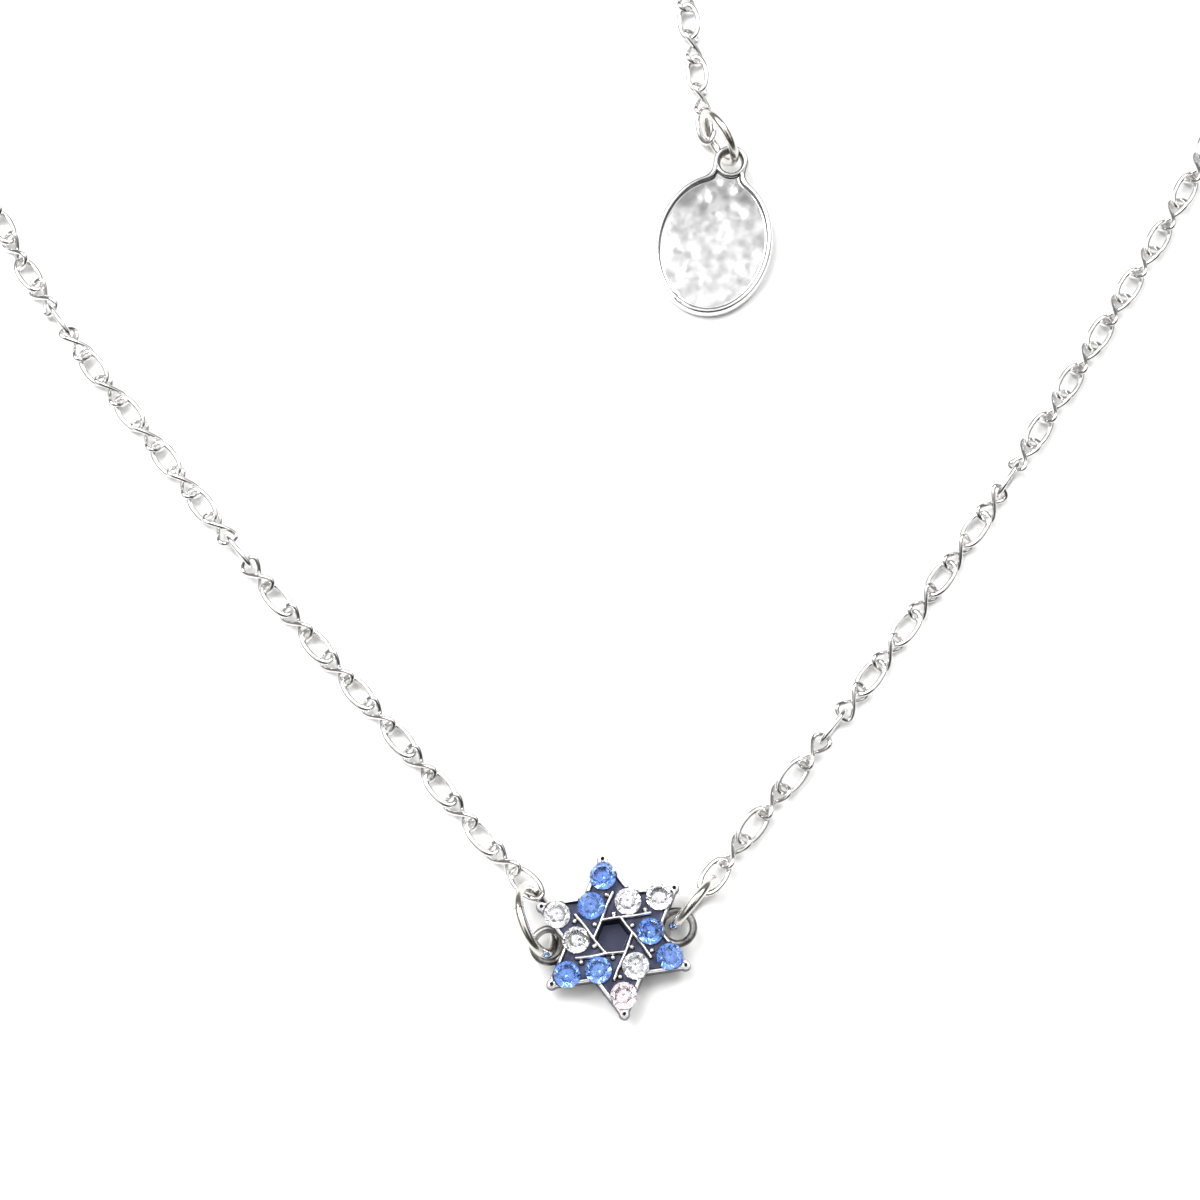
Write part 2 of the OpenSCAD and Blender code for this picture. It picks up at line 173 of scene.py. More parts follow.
def plate_grid(distance, box, step):
    """The grid points of a box that lie inside an outline, and the quads between them."""
    xs = np.arange(box[0], box[1] + step, step)
    ys = np.arange(box[2], box[3] + step, step)
    points = np.stack(np.meshgrid(xs, ys, indexing="ij"), -1).reshape(-1, 2)
    inside = (distance(points) > -OUTSIDE_SHARE * step).reshape(len(xs), len(ys))
    cells = np.argwhere(inside[:-1, :-1] & inside[1:, :-1] & inside[1:, 1:] & inside[:-1, 1:])
    corner = cells[:, 0] * len(ys) + cells[:, 1]
    quads = np.stack([corner, corner + len(ys), corner + len(ys) + 1, corner + 1], 1)
    used, quads = np.unique(quads, return_inverse=True)
    return points[used], quads.reshape(-1, 4)


def border_edges(quads, count):
    """The edges that have a quad on one side only."""
    edges = np.concatenate([np.stack([quads[:, i], quads[:, (i + 1) % 4]], 1) for i in range(4)])
    forth, back = edges[:, 0] * count + edges[:, 1], edges[:, 1] * count + edges[:, 0]
    return edges[~np.isin(forth, back)]


def relief(distance, top, low, box, step, draft=0.0):
    """A cast plate, and the count of quads in one face: distance(p) is how far inside the outline a
    point lies, top and low give its faces. Its walls spread outward by the draft toward its back.
    """
    points, quads = plate_grid(distance, box, step)
    count = len(points)
    border = border_edges(quads, count)
    on_border = np.unique(border)
    for _ in range(BORDER_MOVES):
        near = points[on_border]
        slope = np.stack([distance(near + shift) - distance(near - shift)
                          for shift in ([PROBE, 0], [0, PROBE])], 1) / (2 * PROBE)
        steepness = np.maximum((slope ** 2).sum(1), LEAST_SLOPE)
        points[on_border] -= distance(near)[:, None] * slope / steepness[:, None]
    outward = -unit(slope) * draft
    d = np.maximum(distance(points), 0)
    d[on_border] = 0
    high, under = top(points, d), low(points, d)
    back_points = points.copy()
    back_points[on_border] += outward
    verts = [np.column_stack([points, high]), np.column_stack([back_points, under])]
    faces = [quads, quads[:, ::-1] + count]
    place = np.full(count, -1)
    place[on_border] = np.arange(len(on_border))
    rows = [np.arange(count)]
    for row in range(1, WALL_ROWS):
        share = row / WALL_ROWS
        level = high[on_border] * (1 - share) + under[on_border] * share
        start = 2 * count + (row - 1) * len(on_border)
        verts.append(np.column_stack([points[on_border] + outward * share, level]))
        rows.append(np.where(place >= 0, place + start, -1))
    rows.append(np.arange(count) + count)
    for upper, lower in zip(rows, rows[1:]):
        faces.append(np.stack([upper[border[:, 1]], upper[border[:, 0]],
                               lower[border[:, 0]], lower[border[:, 1]]], 1))
    return np.concatenate(verts), np.concatenate(faces).tolist(), len(quads)


# --- What the frame says --------------------------------------------------------------------------

# CAD points that agree to this many decimals are one point.
MERGE_DECIMALS = 4
FACING_DOWN = -0.9
# Keeps the normal of an empty triangle from being divided by nothing.
TINY = 1e-12


def node_mesh(node):
    """A CAD node's points in millimetres, with doubles merged, and its triangles."""
    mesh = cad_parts[node].data
    mesh.calc_loop_triangles()
    points = np.empty(len(mesh.vertices) * 3)
    mesh.vertices.foreach_get("co", points)
    triangles = np.empty(len(mesh.loop_triangles) * 3, int)
    mesh.loop_triangles.foreach_get("vertices", triangles)
    points = np.round(points.reshape(-1, 3) / MM, MERGE_DECIMALS)
    merged, where = np.unique(points, axis=0, return_inverse=True)
    return merged, where.reshape(-1)[triangles].reshape(-1, 3)


def solids(node):
    """The separate solids of a CAD node, as (points, triangles) pairs."""
    points, triangles = node_mesh(node)
    label = np.arange(len(points))
    while True:
        lowest = label[triangles].min(1)
        before = label.copy()
        for corner in range(3):
            np.minimum.at(label, triangles[:, corner], lowest)
        label = label[label]
        if np.array_equal(label, before):
            break
    for value in np.unique(label[triangles[:, 0]]):
        yield points, triangles[label[triangles[:, 0]] == value]


def normals_of(corners):
    """Normals of triangles, each as long as twice its area."""
    return np.cross(corners[:, 1] - corners[:, 0], corners[:, 2] - corners[:, 0])


def extents(points, triangles, axes):
    """The middle of a solid's extent along three axes, and its sizes along them."""
    along = points[np.unique(triangles)] @ axes.T
    return (along.max(0) + along.min(0)) / 2 @ axes, np.ptp(along, axis=0)


def pose_of(points, triangles):
    """A solid's middle, its principal directions from the longest down, and its size along each."""
    corners = points[triangles]
    area = np.linalg.norm(normals_of(corners), axis=1)
    middles = corners.mean(1)
    centre = (middles * area[:, None]).sum(0) / area.sum()
    spread = (middles - centre).T @ ((middles - centre) * area[:, None])
    axes = np.linalg.eigh(spread)[1][:, ::-1].T
    axes[2] = np.cross(axes[0], axes[1])
    centre, size = extents(points, triangles, axes)
    return centre, axes, size


def plate_pose(node, toward):
    """A flat plate's middle and directions: up from its flat back, Y pointing toward a place."""
    points, triangles = node_mesh(node)
    normals = normals_of(points[triangles])
    down = normals[unit(normals + TINY)[:, 2] < FACING_DOWN].sum(0)
    above = -unit(down)
    long_way = pose_of(points, triangles)[1][0]
    ahead = unit(long_way - above * (long_way @ above))
    if ahead @ (toward - points.mean(0)) < 0:
        ahead = -ahead
    axes = np.stack([np.cross(ahead, above), ahead, above])
    return extents(points, triangles, axes)[0], axes


def middle(node):
    low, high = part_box(node)
    return (np.array(low) + np.array(high)) / 2 / MM


# --- Chain ----------------------------------------------------------------------------------------

SIDES = {"left": "chain_left", "right": "chain_right", "extender": "extender_chain"}
WIRE_SIDES = 12
OVAL_POWER = 2.2
OVAL_RINGS = 56
OVAL_FLATTENING = 0.94
CROSS_RINGS = 56
CROSS_SIZE = (3.54, 1.98)
CROSS_WIRE = 0.4
CROSS_RISE = 0.62
# Solids thicker than this are crossed links, the others large ovals.
THICK_LINK = 0.6


def oval_link(size, wire):
    """A large link: a slightly pointed oval of wire, a little flattened."""
    turn = np.linspace(0, 2 * math.pi, OVAL_RINGS, endpoint=False)
    reach, half = (size[0] - wire) / 2, (size[1] - wire) / 2
    cosine, sine = np.cos(turn), np.sin(turn)
    curve = np.abs(np.stack([cosine, sine])) ** (2 / OVAL_POWER)
    path = np.stack([reach * np.sign(cosine) * curve[0], half * np.sign(sine) * curve[1],
                     np.zeros(OVAL_RINGS)], 1)
    return loop_tube(path, wire, wire * OVAL_FLATTENING, WIRE_SIDES, UP)


def cross_link():
    """A small link: one wire that crosses itself midway and opens into a loop at each end."""
    turn = (np.arange(CROSS_RINGS) + 0.5) / CROSS_RINGS * 2 * math.pi
    reach, half = (CROSS_SIZE[0] - CROSS_WIRE) / 2, (CROSS_SIZE[1] - CROSS_WIRE) / 2
    rise = CROSS_RISE * CROSS_WIRE * np.sin(turn) ** 3
    path = np.stack([reach * np.cos(turn), half * np.sin(2 * turn), rise], 1)
    return loop_tube(path, CROSS_WIRE, CROSS_WIRE, WIRE_SIDES, UP)


def chain(side, node, metal):
    """All links of one side as one piece, each on its own solid and none of them in the table."""
    parts = []
    for points, triangles in solids(node):
        centre, axes, size = pose_of(points, triangles)
        verts, faces = cross_link() if size[2] > THICK_LINK else oval_link(size, size[2])
        verts = verts @ axes + centre
        verts[:, 2] -= min(verts[:, 2].min(), 0)
        parts.append((verts, faces))
    dress(mesh_object("chain_links_" + side, *joined(parts), [metal]), node)


# --- Rings and clasp ------------------------------------------------------------------------------

# Where each ring's seam lies, in degrees from its lowest point.
RING_SEAMS = {"left_jump_ring": 200, "right_jump_ring": 170, "tag_ring": 150, "end_ring": 30}
RING_RINGS = 128
RING_SIDES = 24
SEAM_WIDTH = 0.05


def jump_ring(node, seam, metal):
    """A ring of round wire with the hairline seam where its two ends meet."""
    centre, axes, size = pose_of(*next(solids(node)))
    wire = size[2]
    radius = (size[0] + size[1]) / 4 - wire / 2
    down = unit(axes[2] * axes[2][2] - UP)
    beside = np.cross(axes[2], down)
    half_seam = SEAM_WIDTH / 2 / radius
    turn = np.linspace(half_seam, 2 * math.pi - half_seam, RING_RINGS) + math.radians(seam)
    path = radius * (np.cos(turn)[:, None] * down + np.sin(turn)[:, None] * beside) + centre
    verts, faces = open_tube(path, wire, wire, RING_SIDES, axes[2])
    piece = mesh_object(node + "_wire", verts, faces, [metal], sharp=WIRE_END_CREASE)
    dress(piece, node)


def carried_over(node, material):
    """A CAD node that stays, with a finished material."""
    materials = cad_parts[node].data.materials
    materials.clear()
    materials.append(material)


# --- Stones ---------------------------------------------------------------------------------------

STONES_OF_A_KIND = 6
PINK_STONE = 5
STONE_FOLD = 8
TABLE_SHARE = 0.66
STAR_SHARE = 0.84
STAR_RISE = 0.55
GIRDLE = (0.77, 0.85)
STONE_PLAY = 0.01
STONE_LIFT = 0.02
CROWN_LIFT = 0.06
STONE_LEAN = 0.07
# How far each stone is turned, and which way it leans, in radians for each one counted.
BLUE_TURNS = (0.4, 2.3)
CLEAR_TURNS = (0.55, 1.9)
# Material slots of a stone.
GLASS, FOIL = 0, 1


def brilliant(radius, high):
    """A round brilliant: table, star facets, kites, upper girdle facets, scalloped girdle and flat
    pavilion facets, which come as a list of their own."""
    fold = STONE_FOLD
    low_girdle = circle(radius, 2 * fold, GIRDLE[0])
    low_girdle[1::2, 2] /= math.cos(math.pi / fold)
    star_height = GIRDLE[1] + (high - GIRDLE[1]) * STAR_RISE
    verts = np.concatenate([
        circle(radius * TABLE_SHARE, fold, high),
        circle(radius * STAR_SHARE, fold, star_height, offset=0.5),
        circle(radius, 2 * fold, GIRDLE[1]),
        low_girdle,
        [[0, 0, 0]]])
    crown, top, bottom, tip = fold, 2 * fold, 4 * fold, 6 * fold
    faces, pavilion = [list(range(fold))], []
    for i in range(fold):
        j, before = (i + 1) % fold, (i - 1) % fold
        left, between, right = (top + (2 * i + k) % (2 * fold) for k in range(3))
        faces += [[i, crown + i, j], [i, crown + before, left, crown + i],
                  [crown + i, left, between], [crown + i, between, right]]
        pavilion += [[tip, bottom + 2 * i, bottom + (2 * i - 1) % (2 * fold)],
                     [tip, bottom + 2 * i + 1, bottom + 2 * i]]
    for i in range(2 * fold):
        j = (i + 1) % (2 * fold)
        faces.append([top + i, bottom + i, bottom + j, top + j])
    return verts, faces, pavilion


def stone(node, glass, foil, turn, toward):
    """A cut stone in its seat, foiled on its pavilion and girdle, leaning a little of its own."""
    low, high = (np.array(corner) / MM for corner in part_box(node))
    radius, height = (high[0] - low[0]) / 2 - STONE_PLAY, high[2] - low[2] + CROWN_LIFT
    verts, faces, pavilion = brilliant(radius, height)
    cosine, sine = math.cos(STONE_LEAN), math.sin(STONE_LEAN)
    tilt = np.array([[cosine, 0, -sine], [0, 1, 0], [sine, 0, cosine]])
    aim = level_turn(toward)
    pivot = np.array([0, 0, GIRDLE[0]])
    verts = (verts @ level_turn(turn) - pivot) @ aim.T @ tilt @ aim + pivot
    verts = verts + [(low[0] + high[0]) / 2, (low[1] + high[1]) / 2, low[2] + STONE_LIFT]
    girdle = 2 * STONE_FOLD
    kinds = [GLASS] * (len(faces) - girdle) + [FOIL] * (len(pavilion) + girdle)
    piece = mesh_object(node + "_cut", verts, faces + pavilion, [glass, foil], kinds, sharp=0)
    dress(piece, node)


# --- Star -----------------------------------------------------------------------------------------

STAR_RADIUS = 6.35
STAR_TURN = 8
STAR_MARGIN = 0.2
TIPS = [30 + 60 * k for k in range(6)]
STAR_STEP = 0.045
WALL_DRAFT = 0.12
INNER_CORNER_ROUND = 0.12
BEAD_CORNER_ROUND = 0.1
POINT_RISE = 1.25
FACE_HEIGHT = 1.95
RIM_HEIGHT = 2.4
RIM_WIDTH = 0.2
RIM_SLOPE = 0.09
EDGE_ROUND = 0.1
EDGE_DROP = 0.12
# The sunk face is a little uneven, in waves of so many radians a millimetre along x and y.
UNEVEN_HEIGHT = 0.02
UNEVEN_WAVES = (5.1, 4.3)
UNEVEN_START = 2
# The ridges and grip beads have full round tops: the height of a round one to this power.
FULL_TOP = 0.5
RIDGE_DISTANCE = 1.3
RIDGE_ENDS = (-3.04, 0.75)
RIDGE_HALF = 0.15
RIDGE_SINK = 0.1
RIDGE_RISE = 0.58
RIDGE_WANDER = 0.03
RIDGE_WAVE = 2.1
WELL_REACH = 1.19
WELL_SLOPE = 0.16
WELL_FLOOR = 0.6
WELL_UNDERSIDE = WELL_FLOOR - 0.3
# A tip bead is a raised collar round a hollow.
BEAD_DISTANCE = 5.94
BEAD_RADIUS = 0.31
BEAD_REACH = 0.36
COLLAR_RADIUS = 0.21
COLLAR_HALF = 0.12
COLLAR_FOOT = RIM_HEIGHT - 0.26
COLLAR_RISE = 0.12
COLLAR_STEP = 0.05
HOLLOW_RADIUS = 0.13
HOLLOW_HEIGHT = RIM_HEIGHT - 0.5
GRIP_RADIUS = 0.2
GRIP_RISE = 0.4
GRIP_PLACES = (2.69, 0.27)
GRIP_LINE = 1.65
STONE_LINE = 2.43
STONE_PLACES = (3.9, 1.48)
SEAT_RADIUS = 1.09
SEAT_DEPTH = 1.35
SEAT_SLOPE = 0.81
FOOT_RADIUS = 3.46
FOOT_SIDES = 6
FOOT_CHAMFER = 0.1
FOOT_OVERLAP = 0.05
LOOP_DISTANCE = 4.95
LOOP_HEIGHT = 1.6
LOOP_WIRE = 0.6
LOOP_RADIUS = 1.25
LOOP_RINGS = 72
LOOP_SIDES = 20
NECK = (3.2, 3.95)
NECK_WIDTH = 1.1
NECK_RINGS = 8
# Material slots of the star.
OXIDISED, WORN_AND_SHADED = 0, 1


def across(direction):
    """The level direction a quarter turn on."""
    return np.array([-direction[1], direction[0]])


def farthest(p, angles):
    """The greatest reach of points along directions given in degrees."""
    return np.max([p @ heading(angle) for angle in angles], axis=0)


def distance_to(p, place):
    return np.linalg.norm(p - place, axis=1)


def beside_arm(tip, from_middle, along):
    """A place on the face given as the CAD gives it: out along the direction 60 degrees on, then
    square to it."""
    out = heading(tip + 60)
    return out * from_middle - across(out) * along


def star_outline(p):
    """Two triangles with rounded inner corners, cut off at the tips and ending in round beads."""
    first = STAR_RADIUS / 2 - farthest(p, [t + 60 for t in TIPS[::2]])
    second = STAR_RADIUS / 2 - farthest(p, [t + 60 for t in TIPS[1::2]])
    body = smooth_max(first, second, INNER_CORNER_ROUND)
    body = np.minimum(body, BEAD_DISTANCE + BEAD_RADIUS - farthest(p, TIPS))
    beads = BEAD_RADIUS - np.min([distance_to(p, heading(t) * BEAD_DISTANCE) for t in TIPS], axis=0)
    return smooth_max(body, beads, BEAD_CORNER_ROUND)


def ridge(p, tip):
    """The height of the ridge across one arm, straight but for a slight wander."""
    out = heading(tip)
    along = p @ across(out)
    past = np.maximum(np.maximum(RIDGE_ENDS[0] - along, along - RIDGE_ENDS[1]), 0)
    wander = RIDGE_WANDER * np.sin(RIDGE_WAVE * along + tip)
    off = np.hypot(p @ out - RIDGE_DISTANCE - wander, past)
    rise = RIDGE_RISE * rounded(off, RIDGE_HALF) ** FULL_TOP
    return FACE_HEIGHT - RIDGE_SINK + rise * (off < RIDGE_HALF)


def with_tip_bead(z, p, tip):
    off = distance_to(p, heading(tip) * BEAD_DISTANCE)
    collar = COLLAR_FOOT + COLLAR_RISE * rounded(off - COLLAR_RADIUS, COLLAR_HALF)
    bead = np.where(off < HOLLOW_RADIUS, HOLLOW_HEIGHT, np.maximum(collar, z - COLLAR_STEP))
    return np.where(off < BEAD_REACH, bead, z)


def grip_bead(p, place):
    off = distance_to(p, place)
    rise = GRIP_RISE * rounded(off, GRIP_RADIUS) ** FULL_TOP
    return np.where(off < GRIP_RADIUS, FACE_HEIGHT + rise, 0)


def in_well(p):
    return smooth_step((WELL_REACH - farthest(p, TIPS)) / WELL_SLOPE)


def star_face(p, d):
    """The star's top: a sunk face in a raised rim, with ridges, beads, stone seats and the well."""
    uneven = (UNEVEN_HEIGHT * np.sin(UNEVEN_WAVES[0] * p[:, 0] + UNEVEN_START)
              * np.sin(UNEVEN_WAVES[1] * p[:, 1]))
    rim = smooth_step((RIM_WIDTH + RIM_SLOPE - d) / RIM_SLOPE)
    z = FACE_HEIGHT + uneven + (RIM_HEIGHT - FACE_HEIGHT) * rim
    z -= EDGE_DROP * (1 - edge_round(d, EDGE_ROUND))
    for tip in TIPS:
        z = np.maximum(z, ridge(p, tip))
        z = with_tip_bead(z, p, tip)
        for along_arm in GRIP_PLACES:
            z = np.maximum(z, grip_bead(p, beside_arm(tip, GRIP_LINE, along_arm)))
    for tip in TIPS:
        for along_arm in STONE_PLACES:
            off = distance_to(p, beside_arm(tip, STONE_LINE, along_arm))
            z = np.where(off < SEAT_RADIUS, np.minimum(z, SEAT_DEPTH + SEAT_SLOPE * off), z)
    return z + (WELL_FLOOR - z) * in_well(p)


def star_back(p, d):
    """The underside, level but for the thin floor of the well, which lies inside the foot."""
    return POINT_RISE + (WELL_UNDERSIDE - POINT_RISE) * in_well(p)


def star(oxidised, worn_and_shaded):
    """The casting: the relief, its foot and a loop at each side. The relief's back, the foot and
    the loops are worn silver whose dark grey is partly painted shade."""
    reach = STAR_RADIUS + STAR_MARGIN
    verts, faces, face_count = relief(star_outline, star_face, star_back,
                                      (-reach, reach, -reach, reach), STAR_STEP, WALL_DRAFT)
    walls = len(faces) - 2 * face_count
    kinds = [OXIDISED] * face_count + [WORN_AND_SHADED] * face_count + [OXIDISED] * walls
    foot = [circle(FOOT_RADIUS - FOOT_CHAMFER, FOOT_SIDES, 0),
            circle(FOOT_RADIUS, FOOT_SIDES, FOOT_CHAMFER),
            circle(FOOT_RADIUS, FOOT_SIDES, POINT_RISE + FOOT_OVERLAP)]
    foot_faces = grid_faces(len(foot), FOOT_SIDES, closed=False) + [list(range(FOOT_SIDES))[::-1]]
    parts = [(verts, faces), (np.concatenate(foot), foot_faces)]
    for side in (1, -1):
        loop = circle(LOOP_RADIUS, LOOP_RINGS, LOOP_HEIGHT) + [side * LOOP_DISTANCE, 0, 0]
        parts.append(loop_tube(loop, LOOP_WIRE, LOOP_WIRE, LOOP_SIDES, UP))
        neck = np.stack([side * np.linspace(*NECK, NECK_RINGS), np.zeros(NECK_RINGS),
                         np.full(NECK_RINGS, LOOP_HEIGHT)], 1)
        parts.append(open_tube(neck, NECK_WIDTH, LOOP_WIRE, LOOP_SIDES, UP))
    verts, faces = joined(parts)
    kinds += [WORN_AND_SHADED] * (len(faces) - len(kinds))
    piece = mesh_object("star_casting", verts @ level_turn(math.radians(STAR_TURN)), faces,
                        [oxidised, worn_and_shaded], kinds, sharp=CASTING_CREASE)
    dress(piece, "star_frame")


# --- Tag ------------------------------------------------------------------------------------------

TAG_HALF = (4.95, 6.2)
TAG_THICKNESS = 1.0
TAG_STEP = 0.075
TAG_BOX = (-5.1, 5.1, -6.4, 9.1)
TAG_EDGE_ROUND = 0.3
TAG_RIM = 0.4
TAG_SUNK = 0.22
TAG_SUNK_SLOPE = 0.2
# The oval's distance is divided by shares no smaller than this.
LEAST_SHARE = 0.05
BACK_EDGE_ROUND = 0.25
BACK_EDGE_SHARE = 0.2
EAR_PLACE = (0, 7.25)
EAR_RADIUS = 1.55
EAR_HOLE = 0.875
EAR_BLEND = 0.05
TAB_SHARE = 0.97
TAB_START = 3
TAB_BLEND = 0.7
DIMPLE_SEED = 7
DIMPLES = 150
DIMPLE_DEPTHS = (-0.05, 0.045)
DIMPLE_SPREADS = (0.35, 0.8)
# The dimples are deeper toward the ear, past a height on the tag.
DEEP_FROM = 2.5
DEEP_SHARE, SHALLOW_SHARE = 1.3, 0.6
ROUGH_SPOT = (-2.3, -5.35)
ROUGH_BUMPS = 14
ROUGH_SCATTER = 0.35
ROUGH_HEIGHTS = (0.02, 0.1)
ROUGH_SPREAD = 0.12


def tag_outline(p):
    """An oval and a round ear with a hole, joined by a short tab."""
    share = np.hypot(p[:, 0] / TAG_HALF[0], p[:, 1] / TAG_HALF[1])
    share = np.maximum(share, LEAST_SHARE)
    slope = np.hypot(p[:, 0] / TAG_HALF[0] ** 2, p[:, 1] / TAG_HALF[1] ** 2) / share
    plate = (1 - share) / np.maximum(slope, LEAST_SHARE)
    from_ear = p - EAR_PLACE
    ear_distance = np.linalg.norm(from_ear, axis=1)
    ends = np.minimum(-from_ear[:, 1], p[:, 1] - TAB_START)
    tab = np.minimum(EAR_RADIUS * TAB_SHARE - np.abs(p[:, 0]), ends)
    outer = smooth_max(smooth_max(plate, tab, TAB_BLEND), EAR_RADIUS - ear_distance, EAR_BLEND)
    return np.minimum(outer, ear_distance - EAR_HOLE)


def tag_face(p, d):
    """The tag's top: a rounded rim, a sunk hammered field and a rough spot near its far end."""
    random = np.random.default_rng(DIMPLE_SEED)
    z = TAG_THICKNESS * (0.5 + 0.5 * edge_round(d, TAG_EDGE_ROUND))
    sunk = smooth_step((d - TAG_RIM) / TAG_SUNK_SLOPE)
    z -= TAG_SUNK * sunk
    for _ in range(DIMPLES):
        centre = random.uniform(-1, 1, 2) * TAG_HALF
        depth, spread = random.uniform(*DIMPLE_DEPTHS), random.uniform(*DIMPLE_SPREADS)
        depth *= DEEP_SHARE if centre[1] > DEEP_FROM else SHALLOW_SHARE
        z += depth * sunk * hill(p, centre, spread)
    for _ in range(ROUGH_BUMPS):
        centre = random.normal(ROUGH_SPOT, ROUGH_SCATTER)
        z += random.uniform(*ROUGH_HEIGHTS) * hill(p, centre, ROUGH_SPREAD) * (d > 0)
    return z


def tag_back(p, d):
    return TAG_THICKNESS * BACK_EDGE_SHARE * (1 - edge_round(d, BACK_EDGE_ROUND))


def tag(metal):
    """The oval tag: a raised rim that runs up round its ear, and a bare hammered field."""
    centre, axes = plate_pose("tag", middle("tag_ring"))
    verts, faces, _ = relief(tag_outline, tag_face, tag_back, TAG_BOX, TAG_STEP)
    half_length = (TAG_HALF[1] + EAR_PLACE[1] + EAR_RADIUS) / 2
    verts = (verts - [0, half_length - TAG_HALF[1], TAG_THICKNESS / 2]) @ axes + centre
    piece = mesh_object("tag_plate", verts, faces, [metal], sharp=CASTING_CREASE)
    dress(piece, "tag")


# --- Materials ------------------------------------------------------------------------------------

CHAIN_LOOK = {"light": (0.82, 0.815, 0.80), "dark": (0.62, 0.615, 0.60),
              "gloss": (0.10, 0.20), "wear": 0.2}
RING_LOOK = {"light": (0.70, 0.67, 0.63), "dark": (0.55, 0.525, 0.49),
             "gloss": (0.14, 0.26), "wear": 0.3}
# Heights in millimetres between which the casting goes from blackened to rubbed bright.
RUBBED_FROM, RUBBED_TO = 2.02, 2.30
BLACKENED, GREYED, RUBBED = (0.052, 0.056, 0.088), (0.16, 0.16, 0.18), (0.84, 0.83, 0.82)
# The pits are wear, but the grey is darkened as painted shade for the shade the star's side loops lie
# in.
PITTED, WORN_AND_SHADED_GREY = (0.11, 0.108, 0.11), (0.34, 0.33, 0.32)
# Places along y in millimetres between which the tag goes from its lighter tone to its darker one.
DARKENING_FROM, DARKENING_TO = 57.0, 62.5
DARKEST_TONE, HALF_BRIGHT, BRIGHT = 0.46, 0.66, 0.86
GLASS_INDEX = 1.56
CLEAR, ROSY, BLUE = (1, 1, 1), (1, 0.86, 0.90), (0.19, 0.37, 0.97)
FOIL_ROUGHNESS = 0.11
FOIL_DULL, FOIL_BRIGHT = (0.88, 0.88, 0.90), (0.98, 0.98, 0.99)
TABLE_ROUGHNESS = 0.6
TABLE_DARK, TABLE_LIGHT = (0.945, 0.945, 0.94), (0.965, 0.965, 0.96)
# Sockets of a Mix node that mixes colours.
MIX_FACTOR, MIX_A, MIX_B, MIX_RESULT = 0, 6, 7, 2


class Nodes:
    """A node tree, with short calls for the nodes that materials and the sky share."""

    def __init__(self, tree):
        self.tree = tree

    def node(self, kind, **values):
        made = self.tree.nodes.new(kind)
        for key, value in values.items():
            setattr(made, key, value)
        return made

    def feed(self, socket, value):
        """Links a node's output to a socket, or sets a constant on it."""
        if isinstance(value, bpy.types.NodeSocket):
            self.tree.links.new(value, socket)
        else:
            socket.default_value = value

    def ramp(self, value, stops):
        """Colours or grey levels between stops along a value."""
        made = self.node("ShaderNodeValToRGB")
        elements = made.color_ramp.elements
        while len(elements) < len(stops):
            elements.new(1.0)
        for element, (position, colour) in zip(elements, stops):
            element.position = position
            element.color = (*(colour if isinstance(colour, tuple) else (colour,) * 3), 1)
        self.feed(made.inputs["Fac"], value)
        return made.outputs["Color"]


class Shader(Nodes):
    """A material on its Principled shader, and the nodes that vary it over the surface."""

    def __init__(self, name, **values):
        self.material = bpy.data.materials.new(name)
        self.material.use_nodes = True
        super().__init__(self.material.node_tree)
        self.inputs = self.tree.nodes["Principled BSDF"].inputs
        for key, value in values.items():
            self.inputs[key.replace("_", " ")].default_value = value

    def place(self):
        return self.node("ShaderNodeTexCoord").outputs["Object"]

    def noise(self, scale, detail=3.0, roughness=0.5):
        """Noise with about so many patches to the metre."""
        made = self.node("ShaderNodeTexNoise")
        made.inputs["Scale"].default_value = scale
        made.inputs["Detail"].default_value = detail
        made.inputs["Roughness"].default_value = roughness
        self.feed(made.inputs["Vector"], self.place())
        return made.outputs["Fac"]

    def along(self, axis, low, high):
        """0 below one place along an axis, in millimetres, and 1 above another."""
        split = self.node("ShaderNodeSeparateXYZ")
        self.feed(split.inputs["Vector"], self.place())
        span = self.node("ShaderNodeMapRange", interpolation_type="SMOOTHSTEP")
        span.inputs["From Min"].default_value = low * MM
        span.inputs["From Max"].default_value = high * MM
        self.feed(span.inputs["Value"], split.outputs[axis])
        return span.outputs["Result"]

    def math(self, operation, a, b):
        made = self.node("ShaderNodeMath", operation=operation)
        self.feed(made.inputs[0], a)
        self.feed(made.inputs[1], b)
        return made.outputs["Value"]

    def vary(self, name, value, *stops):
        """Sets one of the shader's inputs from stops along a value."""
        self.feed(self.inputs[name], self.ramp(value, stops))

    def bump(self, height, strength, distance):
        made = self.node("ShaderNodeBump")
        made.inputs["Strength"].default_value = strength
        made.inputs["Distance"].default_value = distance * MM
        self.feed(made.inputs["Height"], height)
        self.feed(self.inputs["Normal"], made.outputs["Normal"])


def polished(name, light, dark, gloss, wear):
    """Polished silver: faint tarnish in patches and fine wear that varies the gloss."""
    shader = Shader(name, Metallic=1)
    patches = shader.noise(450, detail=4, roughness=0.6)
    shader.vary("Base Color", patches, (0.35, dark), (0.62, light))
    shader.vary("Roughness", shader.noise(1500), (0.3, gloss[0]), (0.7, gloss[1]))
    shader.bump(shader.noise(2500, detail=5, roughness=0.7), strength=wear, distance=0.02)
    return shader.material


def oxidised_silver():
    """Cast silver blackened in its hollows and rubbed bright on its rims, ridges and beads."""
    shader = Shader("oxidised_silver", Metallic=1)
    grain = shader.noise(2600, detail=5, roughness=0.7)
    patches = shader.math("MULTIPLY", shader.math("SUBTRACT", grain, 0.5), 0.5)
    rubbed = shader.math("ADD", shader.along("Z", RUBBED_FROM, RUBBED_TO), patches)
    shader.vary("Base Color", rubbed, (0.1, BLACKENED), (0.45, GREYED), (0.8, RUBBED))
    shader.vary("Roughness", grain, (0.3, 0.28), (0.7, 0.44))
    shader.bump(grain, strength=0.3, distance=0.03)
    return shader.material


